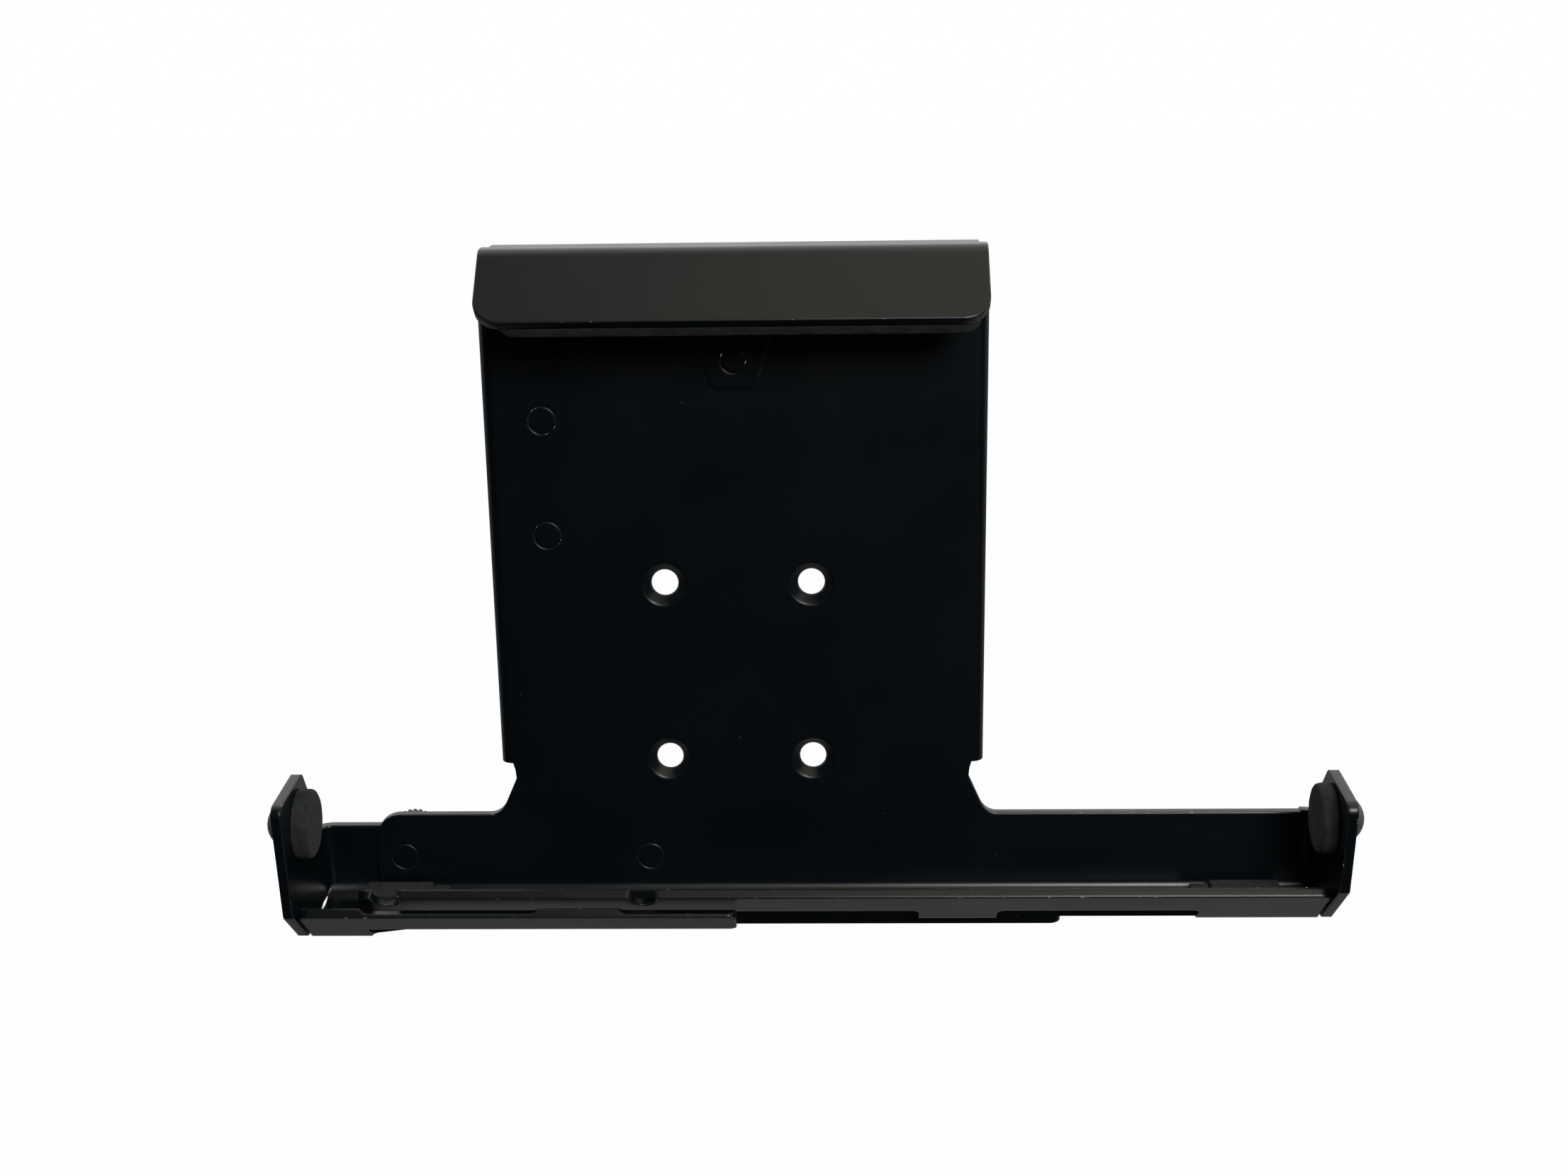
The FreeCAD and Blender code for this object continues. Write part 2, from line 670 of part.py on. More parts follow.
    def flange_corner(middle, direction, length):
        at_end = abs(middle.x - size("tongue_end")) < 1e-3
        return at_end and is_along(direction, V(0, 1, 0)) and abs(middle.z - size("arm_flange_top")) < 1e-3

    round_edges(body, "FlangeEndCorner", "flange_corner_round", flange_corner)

    def tongue_corner(middle, direction, length):
        at_end = abs(middle.x - size("tongue_end")) < 1e-3
        return at_end and is_along(direction, V(0, 0, 1)) and abs(middle.y - size("tongue_front")) < 1e-3

    round_edges(body, "TongueCorner", "tongue_corner_round", tongue_corner)
    return body


# Foam pieces

def make_hook_foam():
    """A strip with rounded ends, glued inside the hook's sloping lip."""
    body = start_body("hook_foam")
    tip = along(hook_corner, hook_run, size("hook_lip_length"))
    inward = (-hook_run[1], hook_run[0])
    upper = along(tip, hook_run, -size("hook_foam_height"))
    corners = [
        (*tip, 0.0),
        (*upper, 0.0),
        (*along(upper, inward, size("hook_foam_thickness")), 0.0),
        (*along(tip, inward, size("hook_foam_thickness")), 0.0),
    ]
    sketch = sketch_on(body, "YZ_Plane", "StripSection", "Sizes.hook_foam_left")
    draw_outline(sketch, corners)
    pad_along(body, sketch, "Strip", "Sizes.hook_foam_right - Sizes.hook_foam_left")
    across = V(0, *inward)

    def strip_corners(middle, direction, length):
        return is_along(direction, across)

    round_edges(body, "StripCorners", "hook_foam_round", strip_corners)
    return body


def make_end_pad(label, side):
    """A round foam disc on a tab's inner face, with a blind hole for its button."""
    body = start_body(label)
    cell = "tab_inner_face" if side == 1 else "arm_inner_face"
    height = size("right_pad_height" if side == 1 else "left_pad_height")
    sketch = sketch_on(body, "YZ_Plane", "DiscOutline", "Sizes." + cell)
    draw_circle(sketch, size("pad_forward"), height, "pad_diameter")
    pad_along(body, sketch, "Disc", "Sizes.pad_thickness", side == 1)
    sketch = sketch_on(body, "YZ_Plane", "ButtonHoleOutline", "Sizes." + cell)
    draw_circle(sketch, size("pad_forward"), height, "button_hole_diameter")
    cut_through(body, sketch, "ButtonHole", "Sizes.button_reach + Sizes.press_clearance", side == -1)
    return body


def make_pad_button(label, side):
    """A button through the tab: a domed head outside, in rings, and a shank that runs into the foam disc."""
    body = start_body(label)
    inner = size("tab_inner_face") if side == 1 else size("arm_inner_face")
    outer = inner + side * t
    rise = size("button_head_height")
    radius = size("button_head_diameter") / 2
    shank = size("button_shank_diameter") / 2
    sphere = (radius * radius + rise * rise) / (2 * rise)
    span = math.asin(radius / sphere)
    if rise > radius:
        span = math.pi - span
    y = size("pad_forward")
    cell = "right_pad_height" if side == 1 else "left_pad_height"
    sketch = sketch_on(body, "XY_Plane", "ButtonSection", "Sizes." + cell)
    start = inner - side * size("button_reach")
    points = [(start, y), (start, y - shank), (outer, y - shank)]
    steps = int(size("button_dome_steps"))
    for i in range(steps, -1, -1):
        turn = span * i / steps
        points.append((outer + side * (rise - sphere + sphere * math.cos(turn)), y - sphere * math.sin(turn)))
    for a, b in zip(points, points[1:] + points[:1]):
        sketch.addGeometry(Part.LineSegment(V(*a, 0), V(*b, 0)), False)
    sketch.addGeometry(Part.LineSegment(V(start, y, 0), V(outer, y, 0)), True)
    doc.recompute()
    turned = body.newObject("PartDesign::Revolution", "Button")
    turned.Profile = sketch
    turned.ReferenceAxis = (sketch, ["Axis0"])
    turned.Angle = 360.0
    sketch.Visibility = False
    return body


def make_shelf_foam(label, start, end, thickness):
    """A foam block in the channel between the plate and the lip."""
    body = start_body(label)
    bend_start = shelf_corner + inside * math.tan(slope / 2)
    top = shelf_top + size(thickness)
    section = [
        (front - inside, top, 0.0),
        (front - inside, shelf_top, 0.0),
        (bend_start, shelf_top, 0.0),
        (bend_start, top, 0.0),
    ]
    sketch = sketch_on(body, "YZ_Plane", "BlockSection", start)
    draw_outline(sketch, section)
    pad_along(body, sketch, "Block", f"{end} - ({start})")
    return body


# Studs, washers and thumb nuts

def make_stud(label, place, height, head_cell, face, length):
    """A press-in stud: a head flush with the front of the sheet and a thread behind it."""
    body = start_body(label)
    sketch = sketch_on(body, "XZ_Plane", "HeadOutline", face)
    draw_circle(sketch, place, height, head_cell)
    pad_along(body, sketch, "Head", "Sizes.sheet", True)
    sketch = sketch_on(body, "XZ_Plane", "ThreadOutline", face)
    draw_circle(sketch, place, height, "thread_diameter")
    pad_along(body, sketch, "Thread", length, True)
    return body


def make_washer(label, place):
    body = start_body(label)
    sketch = sketch_on(body, "XZ_Plane", "WasherOutline", "-(2 * Sizes.slide_gap + Sizes.sheet)")
    draw_circle(sketch, place, size("clamp_height"), "washer_diameter")
    draw_circle(sketch, place, size("clamp_height"), "washer_bore")
    pad_along(body, sketch, "Washer", "Sizes.washer_thickness", True)
    return body


def make_thumb_nut(label, place):
    """A round thumb nut: a collar against the washer and a disc with grip grooves."""
    body = start_body(label)
    seat = "2 * Sizes.slide_gap + Sizes.sheet + Sizes.washer_thickness"
    height = size("clamp_height")
    sketch = sketch_on(body, "XZ_Plane", "CollarOutline", f"-({seat})")
    draw_circle(sketch, place, height, "nut_collar_diameter")
    pad_along(body, sketch, "Collar", "Sizes.nut_collar_length + Sizes.nut_disc_thickness", True)
    sketch = sketch_on(body, "XZ_Plane", "DiscOutline", f"-({seat} + Sizes.nut_collar_length)")
    count = int(size("nut_groove_count"))
    rim = size("nut_diameter") / 2
    depth = size("nut_groove_depth")
    corners = []
    for i in range(count):
        for reach, lead in ((rim, -depth / rim), (rim - depth, 0.0), (rim, depth / rim)):
            turn = 2 * math.pi * i / count + lead
            corners.append((place + reach * math.cos(turn), height + reach * math.sin(turn), 0.0))
    draw_outline(sketch, corners)
    pad_along(body, sketch, "Disc", "Sizes.nut_disc_thickness", True)
    sketch = sketch_on(body, "XZ_Plane", "BoreOutline")
    draw_circle(sketch, place, height, "nut_bore")
    cut_through(body, sketch, "Bore")
    return body


# Assembly

def make_all():
    made = [make_main_tray(), make_sliding_arm(), make_hook_foam()]
    for side, name in ((1, "right"), (-1, "left")):
        made.append(make_end_pad(name + "_pad", side))
        made.append(make_pad_button(name + "_pad_button", side))
    left_joint = "Sizes.left_foam_split + Sizes.foam_joint"
    right_joint = "Sizes.right_foam_split - Sizes.foam_joint"
    foam = [
        ("left_long", "Sizes.left_foam_end", "Sizes.left_foam_split", "shelf_foam_thickness"),
        ("left_short", left_joint, "Sizes.left_foam_start", "short_foam_thickness"),
        ("right_short", "Sizes.right_foam_start", right_joint, "short_foam_thickness"),
        ("right_long", "Sizes.right_foam_split", "Sizes.right_foam_end", "shelf_foam_thickness"),
    ]
    for label, start, end, thickness in foam:
        made.append(make_shelf_foam("shelf_foam_" + label, start, end, thickness))
    back = "Sizes.sheet + Sizes.back_stud_length"
    flush = "Sizes.sheet"
    raised = "Sizes.sheet + Sizes.boss_height"
    side = size("side_stud_place")
    made.append(make_stud("top_stud", 0.0, size("top_stud_height"), "top_stud_head_diameter", raised, back))
    made.append(make_stud("side_stud_lower", side, size("side_stud_low"), "stud_head_diameter", flush, back))
    made.append(make_stud("side_stud_upper", side, size("side_stud_high"), "stud_head_diameter", flush, back))
    reach = "2 * Sizes.sheet + 2 * Sizes.slide_gap + Sizes.washer_thickness"
    reach += " + Sizes.nut_collar_length + Sizes.nut_disc_thickness + Sizes.stud_overrun"
    for name, place in zip(("outer", "inner"), clamp_places):
        height = size("clamp_height")
        made.append(make_stud(f"clamp_stud_{name}", place, height, "stud_head_diameter", flush, reach))
        made.append(make_washer(f"clamp_washer_{name}", place))
        made.append(make_thumb_nut(f"thumb_nut_{name}", place))
    return made


bodies = make_all()
doc.recompute()
for feature in doc.Objects:
    if "Invalid" in feature.State or "Error" in feature.State:
        raise RuntimeError(feature.Name + " failed")
os.makedirs("parts", exist_ok=True)
for body in bodies:
    if body.Shape.isNull() or not body.Shape.isValid():
        raise RuntimeError(body.Label + " has no valid shape")
    if len(body.Shape.Solids) != 1:
        raise RuntimeError(body.Label + " is not one solid")
    body.Shape.exportStep(f"parts/{body.Label}.step")
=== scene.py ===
import math

import bpy
from mathutils import Matrix, Vector


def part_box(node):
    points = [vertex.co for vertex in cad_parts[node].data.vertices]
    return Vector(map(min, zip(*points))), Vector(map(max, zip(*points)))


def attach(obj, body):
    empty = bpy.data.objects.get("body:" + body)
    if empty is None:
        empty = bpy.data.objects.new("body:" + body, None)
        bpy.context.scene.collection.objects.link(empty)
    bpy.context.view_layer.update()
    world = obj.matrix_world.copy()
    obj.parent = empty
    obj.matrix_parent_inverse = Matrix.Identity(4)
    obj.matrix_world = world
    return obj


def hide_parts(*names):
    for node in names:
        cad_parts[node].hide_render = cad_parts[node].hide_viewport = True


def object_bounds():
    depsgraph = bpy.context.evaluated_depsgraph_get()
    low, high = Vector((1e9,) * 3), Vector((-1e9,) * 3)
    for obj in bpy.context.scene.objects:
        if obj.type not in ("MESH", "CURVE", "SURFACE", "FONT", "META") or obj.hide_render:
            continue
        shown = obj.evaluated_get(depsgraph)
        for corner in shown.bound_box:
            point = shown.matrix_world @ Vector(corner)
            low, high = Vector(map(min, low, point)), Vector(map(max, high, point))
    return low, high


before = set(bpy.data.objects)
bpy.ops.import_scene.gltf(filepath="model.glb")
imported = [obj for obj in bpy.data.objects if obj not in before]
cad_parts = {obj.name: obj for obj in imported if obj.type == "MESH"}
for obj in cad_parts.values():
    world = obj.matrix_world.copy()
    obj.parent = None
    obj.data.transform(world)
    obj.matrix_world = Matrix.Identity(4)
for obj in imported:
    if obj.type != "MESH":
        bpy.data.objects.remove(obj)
packed_bounds = [list(corner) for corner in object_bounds()]
bpy.ops.object.select_all(action="DESELECT")
MM = 0.001


# Folded sheets
# The tray and its sliding arm are 2 mm steel, cut, tumbled round at the edges, folded and powder coated. The baked
# satin black polyester is nearly black face on and grey where it catches the light, with bare specks on worn edges.

def linear(hex_colour):
    """An sRGB hex colour as the linear RGBA that a shader reads."""
    channels = [int(hex_colour[i:i + 2], 16) / 255 for i in (1, 3, 5)]
    return [c / 12.92 if c <= 0.04045 else ((c + 0.055) / 1.055) ** 2.4 for c in channels] + [1.0]


def new_material(name):
    """An empty material with its output node."""
    material = bpy.data.materials.new(name)
    material.use_nodes = True
    material.node_tree.nodes.clear()
    return material, add_node(material, "ShaderNodeOutputMaterial")


def add_node(owner, kind, links=None, values=None, **settings):
    """Adds a node with its settings, its inputs' values, and links from other nodes' outputs to its inputs."""
    node = owner.node_tree.nodes.new(kind)
    for key, value in settings.items():
        setattr(node, key, value)
    for key, value in (values or {}).items():
        node.inputs[key].default_value = value
    for key, output in (links or {}).items():
        owner.node_tree.links.new(output, node.inputs[key])
    return node


def paint(node_name, material):
    """Puts a material in every slot of a CAD node."""
    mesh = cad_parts[node_name].data
    for i in range(len(mesh.materials)):
        mesh.materials[i] = material


coat_colour = linear("#030a0f")
bare_steel_colour = linear("#c4c6c6")
dust_colour = linear("#6c7072")
orange_peel_size = 0.6 * MM
orange_peel_height = 0.05
gloss_cloud_size = 30 * MM
edge_round = 0.8 * MM
chip_size = 2.2 * MM
thin_coat_share = 0.04
dust_spacing = 5 * MM
dust_cover = 0.3
stud_groove_width = 0.22 * MM
stud_groove_depth = 0.5
relief_height = 0.1 * MM
press_in_studs = ("top_stud", "side_stud_lower", "side_stud_upper", "clamp_stud_outer", "clamp_stud_inner")

satin_powder_coat, coat_output = new_material("satin_powder_coat")
place = add_node(satin_powder_coat, "ShaderNodeTexCoord")
axes = add_node(satin_powder_coat, "ShaderNodeSeparateXYZ", {0: place.outputs["Object"]})
peel = add_node(satin_powder_coat, "ShaderNodeTexNoise", {"Vector": place.outputs["Object"]},
                {"Scale": 1 / orange_peel_size, "Detail": 2.0, "Roughness": 0.5})
cloudy = add_node(satin_powder_coat, "ShaderNodeTexNoise", {"Vector": place.outputs["Object"]},
                  {"Scale": 1 / gloss_cloud_size, "Detail": 3.0})

# Each press-in stud's head leaves a fine groove round it in the front of the plate.
flat = add_node(satin_powder_coat, "ShaderNodeVectorMath", {0: place.outputs["Object"]}, {1: (1.0, 0.0, 1.0)},
                operation="MULTIPLY")
groove = None
for stud in press_in_studs:
    low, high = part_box(stud)
    middle = ((low.x + high.x) / 2, 0.0, (low.z + high.z) / 2)
    away = add_node(satin_powder_coat, "ShaderNodeVectorMath", {0: flat.outputs["Vector"]}, {1: middle},
                    operation="DISTANCE")
    off_rim = add_node(satin_powder_coat, "ShaderNodeMath", {0: away.outputs["Value"]}, {1: (high.x - low.x) / 2},
                       operation="SUBTRACT")
    apart = add_node(satin_powder_coat, "ShaderNodeMath", {0: off_rim.outputs[0]}, operation="ABSOLUTE")
    if groove is None:
        groove = apart
    else:
        groove = add_node(satin_powder_coat, "ShaderNodeMath", {0: apart.outputs[0], 1: groove.outputs[0]},
                          operation="MINIMUM")
groove_cut = add_node(satin_powder_coat, "ShaderNodeMapRange", {"Value": groove.outputs[0]},
                      {"From Min": 0.0, "From Max": stud_groove_width, "To Min": stud_groove_depth, "To Max": 0.0},
                      interpolation_type="SMOOTHSTEP")
plate_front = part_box("side_stud_lower")[0].y
on_plate = add_node(satin_powder_coat, "ShaderNodeMath", {0: axes.outputs["Y"]}, {1: plate_front, 2: 0.8 * MM},
                    operation="COMPARE")
groove_here = add_node(satin_powder_coat, "ShaderNodeMath", {0: groove_cut.outputs["Result"], 1: on_plate.outputs[0]},
                       operation="MULTIPLY")
peel_share = add_node(satin_powder_coat, "ShaderNodeMath", {0: peel.outputs["Fac"]}, {1: orange_peel_height},
                      operation="MULTIPLY")
height = add_node(satin_powder_coat, "ShaderNodeMath", {0: peel_share.outputs[0], 1: groove_here.outputs[0]},
                  operation="SUBTRACT")

# The tumbled edges are round, and the bend of the normal there shows where an edge is. The coat is thin all along
# them and chipped to bare steel in places.
rounded = add_node(satin_powder_coat, "ShaderNodeBevel", {}, {"Radius": edge_round}, samples=8)
relief = add_node(satin_powder_coat, "ShaderNodeBump",
                  {"Height": height.outputs[0], "Normal": rounded.outputs["Normal"]},
                  {"Strength": 0.9, "Distance": relief_height})
surface = add_node(satin_powder_coat, "ShaderNodeNewGeometry")
turned = add_node(satin_powder_coat, "ShaderNodeVectorMath",
                  {0: rounded.outputs["Normal"], 1: surface.outputs["True Normal"]}, operation="DOT_PRODUCT")
edge = add_node(satin_powder_coat, "ShaderNodeMapRange", {"Value": turned.outputs["Value"]},
                {"From Min": 0.84, "From Max": 0.78})
chips = add_node(satin_powder_coat, "ShaderNodeTexNoise", {"Vector": place.outputs["Object"]},
                 {"Scale": 1 / chip_size, "Detail": 4.0, "Roughness": 0.75})
chipped = add_node(satin_powder_coat, "ShaderNodeMapRange", {"Value": chips.outputs["Fac"]},
                   {"From Min": 0.61, "From Max": 0.67})
thinned = add_node(satin_powder_coat, "ShaderNodeMath", {0: chipped.outputs["Result"]}, {1: thin_coat_share},
                   operation="MAXIMUM")
worn = add_node(satin_powder_coat, "ShaderNodeMath", {0: edge.outputs["Result"], 1: thinned.outputs[0]},
                operation="MULTIPLY")

# Dust lies on the faces in specks about a quarter of a millimetre wide.
specks = add_node(satin_powder_coat, "ShaderNodeTexVoronoi", {"Vector": place.outputs["Object"]},
                  {"Scale": 1 / dust_spacing, "Randomness": 1.0})
speck = add_node(satin_powder_coat, "ShaderNodeMapRange", {"Value": specks.outputs["Distance"]},
                 {"From Min": 0.045, "From Max": 0.02})
cell = add_node(satin_powder_coat, "ShaderNodeSeparateColor", {"Color": specks.outputs["Color"]})
chosen = add_node(satin_powder_coat, "ShaderNodeMath", {0: cell.outputs["Red"]}, {1: 0.75}, operation="GREATER_THAN")
dusty = add_node(satin_powder_coat, "ShaderNodeMath", {0: speck.outputs["Result"], 1: chosen.outputs[0]},
                 operation="MULTIPLY")
dust_share = add_node(satin_powder_coat, "ShaderNodeMath", {0: dusty.outputs[0]}, {1: dust_cover},
                      operation="MULTIPLY")
dusted = add_node(satin_powder_coat, "ShaderNodeMix", {0: dust_share.outputs[0]}, {6: coat_colour, 7: dust_colour},
                  data_type="RGBA")
coloured = add_node(satin_powder_coat, "ShaderNodeMix", {0: worn.outputs[0], 6: dusted.outputs[2]},
                    {7: bare_steel_colour}, data_type="RGBA")
gloss = add_node(satin_powder_coat, "ShaderNodeMapRange", {"Value": cloudy.outputs["Fac"]},
                 {"From Min": 0.3, "From Max": 0.7, "To Min": 0.27, "To Max": 0.33})
coat = add_node(satin_powder_coat, "ShaderNodeBsdfPrincipled",
                {"Base Color": coloured.outputs[2], "Roughness": gloss.outputs["Result"],
                 "Normal": relief.outputs["Normal"]}, {"IOR": 1.5})
satin_powder_coat.node_tree.links.new(coat.outputs["BSDF"], coat_output.inputs["Surface"])

for name in ("main_tray", "sliding_arm") + press_in_studs:
    paint(name, satin_powder_coat)


# Clamp hardware
# Two washers and two grooved thumb nuts behind the arm are turned steel with a black oxide finish, a dark satin
# metal. They press the arm against the back of the tray.

black_oxide_steel, oxide_output = new_material("black_oxide_steel")
oxide = add_node(black_oxide_steel, "ShaderNodeBsdfPrincipled", {},
                 {"Base Color": linear("#303133"), "Metallic": 1.0, "Roughness": 0.4})
black_oxide_steel.node_tree.links.new(oxide.outputs["BSDF"], oxide_output.inputs["Surface"])
for name in ("clamp_washer_outer", "clamp_washer_inner", "thumb_nut_outer", "thumb_nut_inner"):
    paint(name, black_oxide_steel)


# Pad buttons
# Each end pad is held by a moulded black polyamide button: a smooth domed head outside the tab and a shank through
# it. The fine satin skin turns grey at the rim.

def pick(piece, kind, wanted):
    """Opens a piece in edit mode with just the faces or edges selected whose corner points pass a test."""
    bpy.context.view_layer.objects.active = piece
    bpy.ops.object.mode_set(mode="EDIT")
    bpy.ops.mesh.select_mode(type=kind)
    bpy.ops.mesh.select_all(action="DESELECT")
    bpy.ops.object.mode_set(mode="OBJECT")
    for part in piece.data.polygons if kind == "FACE" else piece.data.edges:
        part.select = wanted([piece.data.vertices[i].co for i in part.vertices])
    bpy.ops.object.mode_set(mode="EDIT")


skin_grain_size = 0.3 * MM
moulded_polyamide, polyamide_output = new_material("moulded_polyamide")
place = add_node(moulded_polyamide, "ShaderNodeTexCoord")
skin = add_node(moulded_polyamide, "ShaderNodeTexNoise", {"Vector": place.outputs["Object"]},
                {"Scale": 1 / skin_grain_size})
skin_relief = add_node(moulded_polyamide, "ShaderNodeBump", {"Height": skin.outputs["Fac"]},
                       {"Strength": 0.3, "Distance": 0.03 * MM})
polyamide = add_node(moulded_polyamide, "ShaderNodeBsdfPrincipled", {"Normal": skin_relief.outputs["Normal"]},
                     {"Base Color": linear("#464848"), "Roughness": 0.45, "IOR": 1.53})
moulded_polyamide.node_tree.links.new(polyamide.outputs["BSDF"], polyamide_output.inputs["Surface"])

low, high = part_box("left_pad_button")
head_height = 4.4 * MM
head_radius = (high.z - low.z) / 2
shank_radius = 1.9 * MM
ball_radius = (head_radius ** 2 + head_height ** 2) / (2 * head_height)
dome_span = math.asin(head_radius / ball_radius)
dome_rings = 12
rim_round = 0.3 * MM
hair = 0.01 * MM
middle = (low + high) / 2
foot = low.x + head_height
bpy.ops.mesh.primitive_cylinder_add(vertices=64, radius=shank_radius, depth=high.x - foot,
                                    location=((foot + high.x) / 2, middle.y, middle.z), rotation=(0, math.pi / 2, 0))
left_button = bpy.context.object
left_button.name = "left_button_moulding"
bpy.ops.object.transform_apply(location=True, rotation=True)
pick(left_button, "FACE", lambda points: max(p.x for p in points) < foot + hair)
reach, level = shank_radius, foot
for ring in range(dome_rings):
    turn = dome_span * (1 - ring / dome_rings)
    new_reach = ball_radius * math.sin(turn)
    new_level = foot - head_height + ball_radius * (1 - math.cos(turn))
    bpy.ops.mesh.extrude_region_move(TRANSFORM_OT_translate={"value": (new_level - level, 0, 0)})
    bpy.ops.transform.resize(value=(1, new_reach / reach, new_reach / reach),
                             center_override=(new_level, middle.y, middle.z))
    reach, level = new_reach, new_level
bpy.ops.mesh.poke(offset=level - low.x)
bpy.ops.object.mode_set(mode="OBJECT")
pick(left_button, "EDGE",
     lambda points: min(math.hypot(p.y - middle.y, p.z - middle.z) for p in points) > head_radius - hair)
bpy.ops.mesh.bevel(offset=rim_round, offset_type="OFFSET", segments=3, affect="EDGES")
bpy.ops.object.mode_set(mode="OBJECT")
bpy.ops.object.shade_smooth_by_angle(angle=math.radians(35))
left_button.data.materials.append(moulded_polyamide)

bpy.ops.object.duplicate()
right_button = bpy.context.object
right_button.name = "right_button_moulding"
right_low, right_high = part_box("right_pad_button")
bpy.ops.object.mode_set(mode="EDIT")
bpy.ops.mesh.select_all(action="SELECT")
bpy.ops.transform.rotate(value=math.pi, orient_axis="Z", center_override=middle)
bpy.ops.transform.translate(value=(right_low + right_high) / 2 - middle)
bpy.ops.object.mode_set(mode="OBJECT")
for button, body, node in ((left_button, "arm", "left_pad_button"), (right_button, "tray", "right_pad_button")):
    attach(button, body)
    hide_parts(node)
bpy.ops.object.select_all(action="DESELECT")


# Hook foam
# A die-cut strip of closed-cell neoprene foam with round corners, stuck inside the hook's sloping lip. Its cut face
# is a dull charcoal with a fine fuzz.

cell_size = 0.3 * MM
patch_size = 3 * MM
neoprene_foam, foam_output = new_material("neoprene_foam")
place = add_node(neoprene_foam, "ShaderNodeTexCoord")
cells = add_node(neoprene_foam, "ShaderNodeTexNoise", {"Vector": place.outputs["Object"]},
                 {"Scale": 1 / cell_size, "Detail": 3.0, "Roughness": 0.7})
patches = add_node(neoprene_foam, "ShaderNodeTexNoise", {"Vector": place.outputs["Object"]},
                   {"Scale": 1 / patch_size, "Detail": 2.0})
tone = add_node(neoprene_foam, "ShaderNodeMath", {0: cells.outputs["Fac"], 1: patches.outputs["Fac"]},
                operation="ADD")
tone_range = add_node(neoprene_foam, "ShaderNodeMapRange", {"Value": tone.outputs[0]},
                      {"From Min": 0.75, "From Max": 1.25})
foam_mix = add_node(neoprene_foam, "ShaderNodeMix", {0: tone_range.outputs["Result"]},
                    {6: linear("#181b1a"), 7: linear("#2e3230")}, data_type="RGBA")
foam_relief = add_node(neoprene_foam, "ShaderNodeBump", {"Height": cells.outputs["Fac"]},
                       {"Strength": 0.8, "Distance": 0.12 * MM})
foam = add_node(neoprene_foam, "ShaderNodeBsdfPrincipled",
                {"Base Color": foam_mix.outputs[2], "Normal": foam_relief.outputs["Normal"]},
                {"Roughness": 0.95, "IOR": 1.4, "Sheen Weight": 0.03, "Sheen Roughness": 0.5})
neoprene_foam.node_tree.links.new(foam.outputs["BSDF"], foam_output.inputs["Surface"])
foam_lumps = bpy.data.textures.new("foam_lumps", "CLOUDS")
foam_lumps.noise_scale = 1.1 * MM
foam_lumps.noise_depth = 1


def finish_foam(piece, cell, lump_height, body, node):
    """Gives a foam piece even small faces with soft edges and lumps, and lets it stand for its CAD node."""
    bpy.context.view_layer.objects.active = piece
    even = piece.modifiers.new("even", "REMESH")
    even.mode = "VOXEL"
    even.voxel_size = cell
    soften = piece.modifiers.new("soften", "SMOOTH")
    soften.factor = 0.5
    soften.iterations = 3
    lumpy = piece.modifiers.new("lumpy", "DISPLACE")
    lumpy.texture = foam_lumps
    lumpy.texture_coords = "LOCAL"
    lumpy.mid_level = 0.5
    lumpy.strength = lump_height
    for modifier in list(piece.modifiers):
        bpy.ops.object.modifier_apply(modifier=modifier.name)
    bpy.ops.object.shade_smooth()
    piece.data.materials.clear()
    piece.data.materials.append(neoprene_foam)
    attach(piece, body)
    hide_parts(node)
    bpy.ops.object.select_all(action="DESELECT")


low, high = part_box("hook_foam")
strip_width = 14.5 * MM
strip_thickness = 3.2 * MM
strip_round = 4 * MM
lip_tilt = math.radians(45)
bpy.ops.mesh.primitive_cube_add(size=1)
strip = bpy.context.object
strip.name = "hook_foam_strip"
bpy.ops.transform.resize(value=(high.x - low.x, strip_thickness, strip_width))
bpy.ops.object.transform_apply(scale=True)
pick(strip, "EDGE", lambda points: abs(points[0].y - points[1].y) > strip_thickness / 2)
bpy.ops.mesh.bevel(offset=strip_round, offset_type="OFFSET", segments=8, affect="EDGES")
bpy.ops.mesh.select_all(action="SELECT")
bpy.ops.transform.rotate(value=lip_tilt, orient_axis="X", center_override=(0, 0, 0))
bpy.ops.transform.translate(value=(low + high) / 2)
bpy.ops.object.mode_set(mode="OBJECT")
finish_foam(strip, 0.45 * MM, 0.16 * MM, "tray", "hook_foam")


# End pads
# Round foam discs, die-cut from the same sheet and stuck on the inner faces of the two end tabs. Their rims are
# soft and round.

low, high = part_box("left_pad")
middle = (low + high) / 2
pad_rim_round = 0.9 * MM
bpy.ops.mesh.primitive_cylinder_add(vertices=64, radius=(high.z - low.z) / 2, depth=high.x - low.x, location=middle,
                                    rotation=(0, math.pi / 2, 0))
left_disc = bpy.context.object
left_disc.name = "left_pad_disc"
bpy.ops.object.transform_apply(location=True, rotation=True)
pick(left_disc, "EDGE", lambda points: min(p.x for p in points) > middle.x)
bpy.ops.mesh.bevel(offset=pad_rim_round, offset_type="OFFSET", segments=4, affect="EDGES")
bpy.ops.object.mode_set(mode="OBJECT")
bpy.ops.object.duplicate()
right_disc = bpy.context.object
right_disc.name = "right_pad_disc"
right_low, right_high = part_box("right_pad")
bpy.ops.object.mode_set(mode="EDIT")
bpy.ops.mesh.select_all(action="SELECT")
bpy.ops.transform.rotate(value=math.pi, orient_axis="Z", center_override=middle)
bpy.ops.transform.translate(value=(right_low + right_high) / 2 - middle)
bpy.ops.object.mode_set(mode="OBJECT")
for disc, body, node in ((left_disc, "arm", "left_pad"), (right_disc, "tray", "right_pad")):
    finish_foam(disc, 0.3 * MM, 0.14 * MM, body, node)


# Shelf foam
# Four small blocks of the same foam stuck on the shelf behind the lip, two at each end, cut square with a knife.

